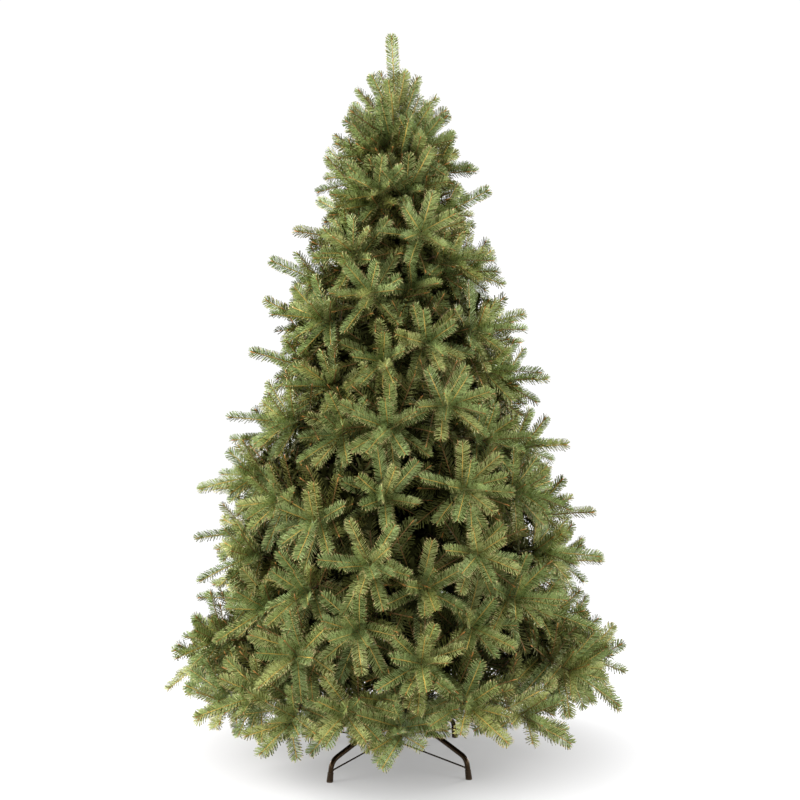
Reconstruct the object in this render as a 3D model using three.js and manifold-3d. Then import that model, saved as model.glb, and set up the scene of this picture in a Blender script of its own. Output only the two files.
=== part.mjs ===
// A full-size artificial spruce on a folding steel stand. Millimetres, +Z up, and the origin on the floor
// under the pole. The pole stands in the stand's sleeve. The foliage hangs on it in tiers of separate masses,
// cut round the pole, and bare boughs carry the lowest tier.
import * as THREE from "three";
import { mergeVertices } from "three/addons/utils/BufferGeometryUtils.js";
import Module from "manifold-3d";

const wasm = await Module();
wasm.setup();

// ---- Driving dimensions ----
const TREE_HEIGHT = 2286; // floor to the tip of the leader
const SEAT_GAP = 0.3; // between two pieces that touch
const UP = new THREE.Vector3(0, 0, 1);

// The widest reach of the needles at each height: [height, radius]
const CROWN_OUTLINE = [
  [205, 690], [265, 745], [430, 695], [690, 630], [980, 547],
  [1230, 466], [1480, 388], [1720, 266], [1850, 246], [1960, 192],
];

// Tiers: where the surfaces between them leave the pole, and where they reach the outline
const TIER_AT_POLE = [318, 560, 790, 1005, 1210, 1405, 1590, 1760];
const TIER_AT_OUTLINE = [205, 465, 745, 1015, 1270, 1510, 1735, 1940];
const TIER_SWEEP = 1.4; // how late along its length a tier bends up or down
const TIER_WAVE = { height: 26, count: 3, turn: 1.7 }; // up and down round the crown, at the outline
const MASSES_IN_TIER = [6, 6, 6, 5, 5, 4, 3];
const FIRST_TIER_DEG = -75; // where the first mass of the lowest tier points
const TIER_TURN = 0.21; // how far each tier is turned past the one below
const MASS_GAP = 5; // from a mass to the edge of its cell
const MASS_STATIONS = [0, 0.22, 0.45, 0.66, 0.83, 0.94, 0.985];
const MASS_SIDES = 12;
const MASS_ROUNDING = 4.5; // 2 is an ellipse across the mass, higher is boxier
const MASS_BLUNTNESS = 12; // of its outer end
const MASS_UNEVENNESS = 0.17;
const MASS_PRONGS = { count: 3, depth: 0.16 }; // its bough ends, which stand out past hollows
const REACH_SPREAD = 0.035; // how far short of the outline the shortest mass stays

const FIRST_MASS_START = 150; // radius at which the lowest masses begin, past their bare boughs
const OTHER_MASS_START = 6; // inside the pole, which cuts them back
const BOUGH = { rootRadius: 7.5, endRadius: 5, sides: 8 };

// The top mass, as a cone of upright tips with the leader above it
const LEADER = {
  bottom: 1772,
  outline: [
    [1817, 110], [1905, 214], [1975, 186], [2050, 146], [2110, 112],
    [2150, 72], [2185, 23], [2262, 17],
  ], // [height, radius]
  leanFrom: 1905,
  lean: -12, // of its tip
  flutes: 5,
  fluteDepth: 0.24,
  flutesOver: 60, // the radius over which it is fluted
};

const POLE = {
  bottom: 46,
  sections: [
    { top: 850, radius: 16 },
    { top: 1450, radius: 13.5 },
    { top: 2035, radius: 10 },
  ],
  swage: 12, // length of the taper between two sections
  ring: { z: 448, radius: 24, height: 30 }, // carries the lowest boughs
  sides: 16,
};

// The stand: one pair of legs is welded to the sleeve, and the other to a collar that turns on it to fold
const SLEEVE = { bottom: 40, top: 198, radius: 19, floor: 5.7, sides: 16 };
const COLLAR = { bottom: 63, top: 151, radius: 23 };
const FOOT_REACH = 300; // pole axis to the middle of a foot
const LEG = { radius: 8, elbow: { r: 291, z: 62 }, bendRadius: 40, bendSteps: 4, sides: 10 };
const LEG_LEAN = Math.atan2(FOOT_REACH - LEG.elbow.r, LEG.elbow.z); // of its drop to the foot
const BRACE = { radius: 2.5, legZ: 33, sides: 8 };
const FOOT = { height: 28, topRadius: 9.3, radius: 10.2, floor: 4, sides: 12 };
const FIRST_LEG_DEG = -41.6;
const PAIRS = [
  { on: SLEEVE, legZ: 165, braceZ: 55, legs: [1, 3] },
  { on: COLLAR, legZ: 143, braceZ: 71, legs: [2, 4] },
];
const SCREW = { z: 187, radius: 3, length: 24, eyeRadius: 9, eyeThickness: 2.2, degs: [3.5, 183.5] };

// ---- Materials ----
const paint = (color, roughness, metalness = 0) =>
  new THREE.MeshStandardMaterial({ color, roughness, metalness });
const MATERIALS = {
  needles: paint(0x6f8a55, 0.7),
  bark: paint(0x5c4630, 0.8),
  pole: paint(0x3a3f2c, 0.45, 0.3),
  stand: paint(0x2c2119, 0.35, 0.6),
  foot: paint(0x33271d, 0.6),
  screw: paint(0x3a3029, 0.35, 0.8),
};

// ---- Helpers ----
function seededRandom(seed) {
  let state = seed >>> 0;
  return () => {
    state = (state + 0x6d2b79f5) >>> 0;
    let t = Math.imul(state ^ (state >>> 15), 1 | state);
    t = (t + Math.imul(t ^ (t >>> 7), 61 | t)) ^ t;
    return ((t ^ (t >>> 14)) >>> 0) / 4294967296;
  };
}

const lerp = THREE.MathUtils.lerp;
const radians = THREE.MathUtils.degToRad;

// The value at x of a line through [x, y] points, which ends at its outer points.
function along(points, x) {
  if (x <= points[0][0]) return points[0][1];
  for (let i = 1; i < points.length; i++) {
    const [x0, y0] = points[i - 1];
    const [x1, y1] = points[i];
    if (x <= x1) return lerp(y0, y1, (x - x0) / (x1 - x0));
  }
  return points[points.length - 1][1];
}

const crownRadius = (z) => along(CROWN_OUTLINE, z);

// Rings of points, all with the same count, closed at both ends by a fan round a point.
function loftGeometry(rings, startPoint, endPoint) {
  const sides = rings[0].length;
  const points = [...rings.flat(), startPoint, endPoint];
  const start = points.length - 2;
  const faces = [];
  for (let i = 0; i < sides; i++) {
    const j = (i + 1) % sides;
    faces.push([start, j, i]);
    for (let k = 0; k + 1 < rings.length; k++) {
      const a = k * sides;
      const b = a + sides;
      faces.push([a + i, a + j, b + j], [a + i, b + j, b + i]);
    }
    const last = (rings.length - 1) * sides;
    faces.push([start + 1, last + i, last + j]);
  }
  const geometry = new THREE.BufferGeometry().setFromPoints(points);
  geometry.setIndex(faces.flat());
  return geometry;
}

function solidFrom(geometry) {
  const bare = geometry.clone();
  bare.deleteAttribute("normal");
  bare.deleteAttribute("uv");
  const merged = mergeVertices(bare, 1e-3);
  return new wasm.Manifold(
    new wasm.Mesh({
      numProp: 3,
      vertProperties: merged.attributes.position.array,
      triVerts: new Uint32Array(merged.index.array),
    }),
  );
}

function geometryFrom(solid) {
  const mesh = solid.getMesh();
  const geometry = new THREE.BufferGeometry();
  geometry.setAttribute("position", new THREE.BufferAttribute(mesh.vertProperties, 3));
  geometry.setIndex(new THREE.BufferAttribute(mesh.triVerts, 1));
  geometry.computeVertexNormals();
  return geometry;
}

// A profile of [radius, height] pairs turned about the vertical axis.
function turned(profile, segments) {
  const points = profile.map(([r, z]) => new THREE.Vector2(r, z));
  return new THREE.LatheGeometry(points, segments).rotateX(Math.PI / 2);
}

// A round tube through points that lie in the XZ plane, with a ring of its section at each.
function tubeGeometry(points, radius, sides) {
  const side = new THREE.Vector3(0, 1, 0);
  const rings = points.map((point, k) => {
    const before = points[Math.max(k - 1, 0)];
    const after = points[Math.min(k + 1, points.length - 1)];
    const across = after.clone().sub(before).normalize().cross(side);
    return Array.from({ length: sides }, (_, i) => {
      const turn = (i / sides) * 2 * Math.PI;
      const offset = across.clone().multiplyScalar(-radius * Math.cos(turn));
      return point.clone().add(offset).addScaledVector(side, radius * Math.sin(turn));
    });
  });
  return loftGeometry(rings, points[0], points[points.length - 1]);
}

const tree = new THREE.Group();

function addMesh(name, geometry, material, parent = tree) {
  const mesh = new THREE.Mesh(geometry, material);
  mesh.name = name;
  parent.add(mesh);
  return mesh;
}

// ---- The pole ----
function poleProfile(clearance = 0) {
  const { bottom, sections, swage, ring } = POLE;
  const ringRadius = ring.radius + clearance;
  const ringBottom = ring.z - ring.height / 2 - clearance;
  const ringTop = ring.z + ring.height / 2 + clearance;
  let radius = sections[0].radius + clearance;
  const profile = [
    [0, bottom - clearance], [radius, bottom - clearance], [radius, ringBottom],
    [ringRadius, ringBottom], [ringRadius, ringTop], [radius, ringTop],
  ];
  for (let i = 1; i < sections.length; i++) {
    profile.push([radius, sections[i - 1].top]);
    radius = sections[i].radius + clearance;
    profile.push([radius, sections[i - 1].top + swage]);
  }
  const top = sections[sections.length - 1].top + clearance;
  profile.push([radius, top], [0, top]);
  return profile;
}

// The cutter for the masses stays clear of the pole between its facets too.
const poleGap = SEAT_GAP / Math.cos(Math.PI / POLE.sides);
const poleCutter = solidFrom(turned(poleProfile(poleGap), POLE.sides));

// ---- Foliage ----
// Height of the surface under tier k at a radius, in the direction of a turn about the pole.
function tierSurface(k, radius, turn) {
  const share = Math.pow(radius / crownRadius(TIER_AT_OUTLINE[k]), TIER_SWEEP);
  const wave = TIER_WAVE.height * Math.sin(TIER_WAVE.count * turn + TIER_WAVE.turn * k);
  return lerp(TIER_AT_POLE[k], TIER_AT_OUTLINE[k] + wave, share);
}

function unevenness(random) {
  const waves = Array.from({ length: 4 }, () => ({
    around: 2 + Math.floor(random() * 3),
    out: 5 + random() * 9,
    phase: random() * 2 * Math.PI,
  }));
  return (turn, out) => {
    const sum = waves.reduce((total, w) => total + Math.sin(w.around * turn + w.out * out + w.phase), 0);
    return 0.5 + sum / (2 * waves.length);
  };
}

// One mass: a lobe that fills its cell between two tier surfaces and two radial planes, and ends in prongs.
function massGeometry(tier, middle, halfSector, start, reach, random) {
  const bumps = unevenness(random);
  const prongTurn = random() * 2 * Math.PI;
  const rEnd = (up) => reach * crownRadius(lerp(TIER_AT_OUTLINE[tier], TIER_AT_OUTLINE[tier + 1], up));
  const place = (radius, side, up) => {
    const turn = middle + side * (halfSector - MASS_GAP / radius);
    const low = tierSurface(tier, radius, turn) + MASS_GAP;
    const high = tierSurface(tier + 1, radius, turn) - MASS_GAP;
    return new THREE.Vector3(radius * Math.cos(turn), radius * Math.sin(turn), lerp(low, high, up));
  };
  const rounded = (v) => Math.sign(v) * Math.pow(Math.abs(v), 2 / MASS_ROUNDING);
  const rings = MASS_STATIONS.map((out) =>
    Array.from({ length: MASS_SIDES }, (_, i) => {
      const turn = (i / MASS_SIDES) * 2 * Math.PI;
      const taper = Math.sqrt(1 - Math.pow(out, MASS_BLUNTNESS));
      const width = taper * (1 - MASS_UNEVENNESS * bumps(turn, out));
      const side = rounded(Math.cos(turn)) * width;
      const up = 0.5 + 0.5 * rounded(Math.sin(turn)) * width;
      const hollow = 0.5 - 0.5 * Math.cos(MASS_PRONGS.count * turn + prongTurn);
      const extent = out * (1 - MASS_PRONGS.depth * hollow * out * out);
      return place(lerp(start, rEnd(up), extent), side, up);
    }),
  );
  return loftGeometry(rings, place(start, 0, 0.5), place(rEnd(0.5), 0, 0.5));
}

function addFoliage() {
  MASSES_IN_TIER.forEach((count, tier) => {
    const halfSector = Math.PI / count;
    const firstTurn = radians(FIRST_TIER_DEG) + (tier % 2 ? halfSector : 0) + tier * TIER_TURN;
    const start = tier === 0 ? FIRST_MASS_START : OTHER_MASS_START;
    for (let i = 0; i < count; i++) {
      const middle = firstTurn + 2 * halfSector * i;
      // Masses across the pole from each other reach equally far, so the crown stays centred on it.
      const reach = 1 - REACH_SPREAD * seededRandom(10 * tier + (i % Math.ceil(count / 2)))();
      const random = seededRandom(100 * (tier + 1) + i);
      let geometry = massGeometry(tier, middle, halfSector, start, reach, random);
      if (tier > 0) geometry = geometryFrom(solidFrom(geometry).subtract(poleCutter));
      addMesh(`foliage_${tier + 1}_${i + 1}`, geometry, MATERIALS.needles);
      if (tier === 0) addBough(i + 1, middle);
    }
  });
}

// A bare bough from the ring on the pole to the inner face of a lowest mass, which curves back at its sides.
function addBough(number, middle) {
  const root = POLE.ring.radius + SEAT_GAP;
  const curve = BOUGH.endRadius * Math.tan(Math.PI / MASSES_IN_TIER[0] / 2);
  const end = FIRST_MASS_START - curve - SEAT_GAP;
  const [low, high] = [0, 1].map((k) => tierSurface(k, FIRST_MASS_START, middle));
  const line = new THREE.Line3(
    new THREE.Vector3(root, 0, POLE.ring.z),
    new THREE.Vector3(end, 0, (low + high) / 2),
  );
  const rings = [0, 0.5, 1].map((share) => {
    const radius = lerp(BOUGH.rootRadius, BOUGH.endRadius, share);
    return Array.from({ length: BOUGH.sides }, (_, i) => {
      const turn = (i / BOUGH.sides) * 2 * Math.PI;
      const offset = new THREE.Vector3(0, radius * Math.cos(turn), radius * Math.sin(turn));
      return line.at(share, new THREE.Vector3()).add(offset);
    });
  });
  const bough = addMesh(`bough_${number}`, loftGeometry(rings, line.start, line.end), MATERIALS.bark);
  bough.rotation.z = middle;
}

// The top of the crown: a fluted cone of upright tips round the pole's end, and the one leader above it.
function addLeader() {
  const bumps = unevenness(seededRandom(900));
  const sides = 2 * LEADER.flutes + 4;
  const lean = (z) => LEADER.lean * Math.max(0, (z - LEADER.leanFrom) / (TREE_HEIGHT - LEADER.leanFrom));
  const rings = LEADER.outline.map(([z, radius], k) =>
    Array.from({ length: sides }, (_, i) => {
      const turn = (i / sides) * 2 * Math.PI;
      const flute = 0.5 - 0.5 * Math.cos(LEADER.flutes * turn + k / 3);
      const depth = radius > LEADER.flutesOver ? LEADER.fluteDepth : 0;
      const r = radius * (1 - depth * flute) * (1 - 0.06 * bumps(turn, k / 4));
      const low = tierSurface(MASSES_IN_TIER.length, r, turn) + MASS_GAP;
      return new THREE.Vector3(lean(z) + r * Math.cos(turn), r * Math.sin(turn), Math.max(z, low));
    }),
  );
  const bottom = new THREE.Vector3(0, 0, LEADER.bottom);
  const top = new THREE.Vector3(LEADER.lean, 0, TREE_HEIGHT);
  const mass = solidFrom(loftGeometry(rings, bottom, top)).subtract(poleCutter);
  addMesh("foliage_top", geometryFrom(mass), MATERIALS.needles);
}

// ---- The stand ----
function addSleeveAndCollar() {
  const bore = POLE.sections[0].radius + SEAT_GAP;
  const { bottom, top, radius, floor } = SLEEVE;
  const sleeve = [
    [0, bottom], [radius, bottom], [radius, top], [bore, top],
    [bore, bottom + floor], [0, bottom + floor],
  ];
  addMesh("stand_sleeve", turned(sleeve, SLEEVE.sides), MATERIALS.stand);
  const inner = radius + SEAT_GAP;
  const collar = [
    [inner, COLLAR.bottom], [COLLAR.radius, COLLAR.bottom], [COLLAR.radius, COLLAR.top],
    [inner, COLLAR.top], [inner, COLLAR.bottom],
  ];
  addMesh("stand_collar", turned(collar, SLEEVE.sides), MATERIALS.stand);
}

// The middle line of a leg in its own plane, x outwards: down the slope, round the elbow and to the foot.
function legPoints(rootRadius, rootZ) {
  const root = new THREE.Vector3(rootRadius, 0, rootZ);
  const elbow = new THREE.Vector3(LEG.elbow.r, 0, LEG.elbow.z);
  const foot = new THREE.Vector3(FOOT_REACH, 0, 0);
  const inward = root.clone().sub(elbow).normalize();
  const down = foot.clone().sub(elbow).normalize();
  const tangent = LEG.bendRadius / Math.tan(inward.angleTo(down) / 2);
  const bendStart = elbow.clone().addScaledVector(inward, tangent);
  const bendEnd = elbow.clone().addScaledVector(down, tangent);
  const end = foot.clone().addScaledVector(down, -(FOOT.floor + SEAT_GAP));
  const bend = new THREE.QuadraticBezierCurve3(bendStart, elbow, bendEnd);
  return [root, ...bend.getPoints(LEG.bendSteps), end];
}

const belowFloor = solidFrom(new THREE.BoxGeometry(2000, 2000, 100).translate(0, 0, -50));

// A plastic cap over the end of a leg, flat on the floor.
function footGeometry() {
  const bore = LEG.radius + SEAT_GAP;
  const skirt = 4; // below the floor, cut off flat
  const profile = [
    [0, -skirt], [FOOT.radius, -skirt], [FOOT.radius, 3], [FOOT.topRadius, FOOT.height],
    [bore, FOOT.height], [bore, FOOT.floor], [0, FOOT.floor],
  ];
  const down = new THREE.Vector3(FOOT_REACH - LEG.elbow.r, 0, -LEG.elbow.z).normalize();
  const geometry = turned(profile, FOOT.sides)
    .applyQuaternion(new THREE.Quaternion().setFromUnitVectors(UP, down.negate()))
    .translate(FOOT_REACH, 0, 0);
  return geometryFrom(solidFrom(geometry).subtract(belowFloor));
}

function addLegs() {
  const legAt = (z) => lerp(FOOT_REACH, LEG.elbow.r, z / LEG.elbow.z);
  for (const { on, legZ, braceZ, legs } of PAIRS) {
    for (const number of legs) {
      const frame = new THREE.Group();
      frame.rotation.z = radians(FIRST_LEG_DEG - 90 * (number - 1));
      tree.add(frame);
      // The tube's end is square to its slope, so its lower edge comes nearest to the sleeve.
      const slope = Math.atan2(legZ - LEG.elbow.z, LEG.elbow.r - on.radius);
      const root = on.radius + SEAT_GAP + LEG.radius * Math.sin(slope);
      const leg = tubeGeometry(legPoints(root, legZ), LEG.radius, LEG.sides);
      addMesh(`stand_leg_${number}`, leg, MATERIALS.stand, frame);
      // The brace's end is square to its slope, so its upper edge comes nearest to the leg.
      const fall = Math.atan2(braceZ - BRACE.legZ, FOOT_REACH);
      const legSide = legAt(BRACE.legZ + BRACE.radius) - LEG.radius / Math.cos(LEG_LEAN);
      const braceEnd = legSide - SEAT_GAP - BRACE.radius * Math.sin(fall);
      const bracePoints = [
        new THREE.Vector3(on.radius + SEAT_GAP, 0, braceZ),
        new THREE.Vector3(braceEnd, 0, BRACE.legZ),
      ];
      const brace = tubeGeometry(bracePoints, BRACE.radius, BRACE.sides);
      addMesh(`stand_brace_${number}`, brace, MATERIALS.stand, frame);
      addMesh(`stand_foot_${number}`, footGeometry(), MATERIALS.foot, frame);
    }
  }
}

// Eye screws through the top of the sleeve, which grip the pole.
function addScrews() {
  const start = SLEEVE.radius + SEAT_GAP;
  const shank = new THREE.CylinderGeometry(SCREW.radius, SCREW.radius, SCREW.length, 8)
    .rotateZ(Math.PI / 2)
    .translate(start + SCREW.length / 2, 0, 0);
  const eye = new THREE.TorusGeometry(SCREW.eyeRadius, SCREW.eyeThickness, 6, 12)
    .rotateX(Math.PI / 2)
    .translate(start + SCREW.length + SCREW.eyeRadius - 1, 0, 0);
  const geometry = geometryFrom(solidFrom(shank).add(solidFrom(eye)));
  SCREW.degs.forEach((deg, i) => {
    const screw = addMesh(`stand_screw_${i + 1}`, geometry, MATERIALS.screw);
    screw.position.z = SCREW.z;
    screw.rotation.z = radians(deg);
  });
}

addMesh("pole", turned(poleProfile(), POLE.sides), MATERIALS.pole);
addFoliage();
addLeader();
addSleeveAndCollar();
addLegs();
addScrews();

export default tree;
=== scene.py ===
import math
from collections import namedtuple

import bmesh
import bpy
import numpy as np
from mathutils import Matrix, Vector, noise


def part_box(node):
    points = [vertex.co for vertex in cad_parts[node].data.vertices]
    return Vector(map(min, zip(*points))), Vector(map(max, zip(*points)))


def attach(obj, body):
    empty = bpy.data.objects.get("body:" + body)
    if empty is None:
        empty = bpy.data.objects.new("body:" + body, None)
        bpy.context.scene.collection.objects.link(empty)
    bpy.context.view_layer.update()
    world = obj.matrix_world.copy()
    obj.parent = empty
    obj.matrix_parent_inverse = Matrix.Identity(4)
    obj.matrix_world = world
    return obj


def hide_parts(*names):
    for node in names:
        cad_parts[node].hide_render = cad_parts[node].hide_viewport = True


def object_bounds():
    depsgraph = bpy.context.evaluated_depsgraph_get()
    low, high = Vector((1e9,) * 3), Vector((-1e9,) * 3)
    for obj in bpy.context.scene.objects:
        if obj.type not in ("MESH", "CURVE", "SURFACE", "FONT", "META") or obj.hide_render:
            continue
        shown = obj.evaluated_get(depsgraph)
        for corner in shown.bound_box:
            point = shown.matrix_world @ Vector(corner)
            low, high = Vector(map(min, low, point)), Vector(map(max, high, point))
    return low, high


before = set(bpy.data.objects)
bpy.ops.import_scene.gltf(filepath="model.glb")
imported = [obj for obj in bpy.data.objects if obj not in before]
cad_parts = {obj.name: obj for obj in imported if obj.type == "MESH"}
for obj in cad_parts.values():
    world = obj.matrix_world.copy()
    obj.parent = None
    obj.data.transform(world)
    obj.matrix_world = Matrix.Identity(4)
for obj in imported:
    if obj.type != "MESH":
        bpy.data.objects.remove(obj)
CAD_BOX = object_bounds()

# ---- Sizes, in metres ----
TIERS = 7
TREE_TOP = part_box("foliage_top")[1]
SPRAY_LENGTH = 0.124  # of its stem
STEM_RADIUS = 0.0019
SITE_SPACING = 0.190  # between the ends of neighbouring boughs
RIM_BOUGHS = 21  # in the lowest ring
UNDER_BOUGHS = 12  # in the ring inside it

# Greens of the outer sprays, on the needles above; the needles below take each green in a painted shade
GREENS = {
    "sage": (0.226, 0.300, 0.102),
    "soft": (0.250, 0.308, 0.098),
    "fresh": (0.285, 0.320, 0.092),
    "pale": (0.318, 0.358, 0.125),
}
UNDERSIDE_SHADE = (0.32, 0.29, 0.17)  # painted shade of a green, as shares of it, on the lower needles of its spray
# Partly the needles' own pale tips, partly a painted highlight and backlit glow at the crown's edge.
STRAW_TIP_AND_GLINT = (0.53, 0.42, 0.20)
# Painted shade, for the lowest needles of the thinner sprays.
SHADED = (0.050, 0.053, 0.010)
# Painted shade: the near-black of the wide blades that fill the crown's inside.
INNERMOST_SHADE = (0.020, 0.022, 0.004)
STEMS = {  # colour, roughness
    "amber": ((0.58, 0.36, 0.070), 0.5),
    "rust": ((0.42, 0.17, 0.035), 0.5),
    # brown: the stems' lower tone, partly painted shade, and the thinner sprays' stems in painted shade;
    # dark: painted shade for the innermost stems
    "brown": ((0.20, 0.095, 0.026), 0.55),
    "dark": ((0.045, 0.020, 0.008), 0.6),
}

rng = np.random.default_rng(2286)
UP = np.array([0.0, 0.0, 1.0])


# ---- Nodes of a material, written as sums on its sockets ----
class Socket:
    """A value in a node tree. An operator between two of them adds the Math node that works it out."""

    def __init__(self, shader, link):
        self.shader = shader
        self.link = link

    def math(self, operation, *values):
        return self.shader.node("ShaderNodeMath", {"operation": operation}, dict(enumerate(values)))[0]

    def __add__(self, other):
        return self.math("ADD", self, other)

    def __sub__(self, other):
        return self.math("SUBTRACT", self, other)

    def __rsub__(self, other):
        return self.math("SUBTRACT", other, self)

    def __mul__(self, other):
        return self.math("MULTIPLY", self, other)

    def __pow__(self, other):
        return self.math("POWER", self, other)

    __radd__ = __add__
    __rmul__ = __mul__


class Outputs:
    """A node's outputs, by name or number."""

    def __init__(self, shader, node):
        self.shader = shader
        self.node = node

    def __getitem__(self, key):
        return Socket(self.shader, self.node.outputs[key])


class Shader:
    """The node tree of a material or of the world."""

    def __init__(self, owner):
        owner.use_nodes = True
        self.tree = owner.node_tree

    def node(self, kind, settings=None, inputs=None):
        """Adds a node. Its settings come first, because some of them change which sockets it has."""
        node = self.tree.nodes.new(kind)
        for name, value in (settings or {}).items():
            setattr(node, name, value)
        for key, value in (inputs or {}).items():
            self.feed(node.inputs[key], value)
        return Outputs(self, node)

    def feed(self, socket, value):
        if isinstance(value, Socket):
            self.tree.links.new(value.link, socket)
        elif isinstance(value, tuple) and len(value) == 3 and socket.type == "RGBA":
            socket.default_value = (*value, 1)
        else:
            socket.default_value = value

    def finish(self, inputs):
        """Feeds the sockets of the material's own shader."""
        for name, value in inputs.items():
            self.feed(self.tree.nodes["Principled BSDF"].inputs[name], value)

    def mix(self, share, first, second):
        """A colour between two, by a share from 0 to 1."""
        settings = {"data_type": "RGBA", "clamp_factor": True}
        return self.node("ShaderNodeMix", settings, {0: share, 6: first, 7: second})[2]


# ---- Camera, light and floor ----
LENS = 59.85  # in millimetres
CAMERA_PLACE = (0.014, -4.2, 1.36)
CAMERA_DIP = 0.05  # below level


def linked(name, data):
    """A new object in the scene, at the origin."""
    thing = bpy.data.objects.new(name, data)
    bpy.context.scene.collection.objects.link(thing)
    return thing


def add_camera():
    data = bpy.data.cameras.new("camera")
    data.lens = LENS
    data.sensor_width = 36
    camera = linked("camera", data)
    camera.location = CAMERA_PLACE
    camera.rotation_euler = (math.pi / 2 - CAMERA_DIP, 0, 0)
    bpy.context.scene.camera = camera


def area_light(name, place, target, size, power, colour, spread):
    data = bpy.data.lights.new(name, "AREA")
    data.color = colour
    data.spread = spread
    data.shape = "RECTANGLE"
    data.size, data.size_y = size
    data.energy = power
    light = linked(name, data)
    light.location = place
    aim = Vector(target) - Vector(place)
    light.rotation_euler = aim.to_track_quat("-Z", "Y").to_euler()


# The tent's light by direction: all round, more of it from above and below, and more from the sides
TENT_BASE = 0.15
TENT_ABOVE = 0.42
TENT_SIDES = 2.20
BACKDROP = 1.04  # just over white
FLOOR_RADIUS = 2.3
FLOOR_GLOW = (0.20, 0.70)  # of the paper, under the crown and well outside it: painted light, weakest where the tree's shadow falls
GLOW_RISE = (0.30, 1.0)  # how far out it rises from the one to the other
GLOW_STRETCH = (0.90, 1.20, 0)  # of those distances, across and in depth
GLOW_OFFSET = (-0.02, -0.17, 0)  # of them, from a middle that is behind the pole
FLOOR_PAPER = (0.335, 0.340, 0.358)
WARM = (1.0, 0.965, 0.90)
# Softboxes: name, place, what it points at, size, watts, colour, spread
SOFTBOXES = [
    ("softbox_left", (-3.0, -1.3, 2.0), (0, 0, 0.9), (1.2, 2.0), 212, WARM, math.pi),
    ("softbox_right", (3.0, -1.3, 2.0), (0, 0, 0.9), (1.2, 2.0), 108, WARM, math.pi),
    ("softbox_top", (0, -1.4, 4.0), (0, 0, 1.0), (1.8, 1.8), 9, (1, 1, 1), math.pi),
    ("softbox_low", (0, -3.2, 0.5), (0, 0, 0.1), (2.4, 0.6), 17, (1, 1, 1), math.pi),
    ("rim_left", (-2.7, 1.7, 1.2), (0, 0, 1.3), (0.8, 1.6), 38, WARM, 1.4),
    ("rim_right", (2.7, 1.7, 1.2), (0, 0, 1.3), (0.8, 1.6), 38, WARM, 1.4),
]


def add_studio():
    """A white tent, which the camera sees evenly white, with softboxes in it."""
    world = bpy.data.worlds.new("studio")
    shader = Shader(world)
    direction = shader.node("ShaderNodeTexCoord")["Generated"]
    axes = shader.node("ShaderNodeSeparateXYZ", {}, {0: direction})
    seen = shader.node("ShaderNodeLightPath")["Is Camera Ray"]
    tent = TENT_BASE + axes["Z"] ** 2 * TENT_ABOVE + axes["X"] ** 2 * TENT_SIDES
    background = shader.tree.nodes["Background"]
    background.inputs["Color"].default_value = (1, 1, 1, 1)
    shader.feed(background.inputs["Strength"], seen * BACKDROP + (1 - seen) * tent)
    scene = bpy.context.scene
    scene.world = world
    scene.view_settings.view_transform = "Standard"
    for softbox in SOFTBOXES:
        area_light(*softbox)


def add_floor():
    """A round sheet of pale paper that glows towards its edge, so that it fades into the backdrop. The glow
    is painted light, and its rise paints the outline of the tree's shadow.
    """
    bm = bmesh.new()
    bmesh.ops.create_circle(bm, cap_ends=True, segments=96, radius=FLOOR_RADIUS)
    floor = object_from(bm, "floor")
    paper = plain("floor_paper", FLOOR_PAPER, 1.0, 0.0)
    shader = Shader(paper)
    place = shader.node("ShaderNodeTexCoord")["Object"]
    settings, sockets = {"operation": "MULTIPLY_ADD"}, {0: place, 1: GLOW_STRETCH, 2: GLOW_OFFSET}
    stretched = shader.node("ShaderNodeVectorMath", settings, sockets)[0]
    away = shader.node("ShaderNodeVectorMath", {"operation": "LENGTH"}, {0: stretched})["Value"]
    settings = {"interpolation_type": "SMOOTHSTEP"}
    limits = {"Value": away, "From Min": GLOW_RISE[0], "From Max": GLOW_RISE[1]}
    share = shader.node("ShaderNodeMapRange", settings, limits)[0]
    low, high = ((glow, glow, glow) for glow in FLOOR_GLOW)
    shader.finish({"Emission Color": shader.mix(share, low, high), "Emission Strength": 1.0})
    floor.data.materials.append(paper)


# ---- Materials ----
def plain(name, colour, roughness, specular=0.5):
    """A material with one even finish."""
    material = bpy.data.materials.new(name)
    inputs = {"Base Color": colour, "Roughness": roughness, "Specular IOR Level": specular}
    Shader(material).finish(inputs)
    return material


def object_from(bm, name):
    mesh = bpy.data.meshes.new(name)
    bm.to_mesh(mesh)
    bm.free()
    return linked(name, mesh)


# ---- Vectors, in rows of arrays ----
def unit(v):
    return v / np.maximum(np.linalg.norm(v, axis=-1, keepdims=True), 1e-9)


def square_to(v, axis):
    """The part of v that is square to a unit axis, as a unit vector."""
    return unit(v - np.sum(v * axis, axis=-1, keepdims=True) * axis)


def flat(turn):
    return np.array([math.cos(turn), math.sin(turn), 0.0])


def along(points, x):
    return float(np.interp(x, [p[0] for p in points], [p[1] for p in points]))


def node_points(name):
    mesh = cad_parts[name].data
    points = np.empty(3 * len(mesh.vertices))
    mesh.vertices.foreach_get("co", points)
    return points.reshape(-1, 3)


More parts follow.
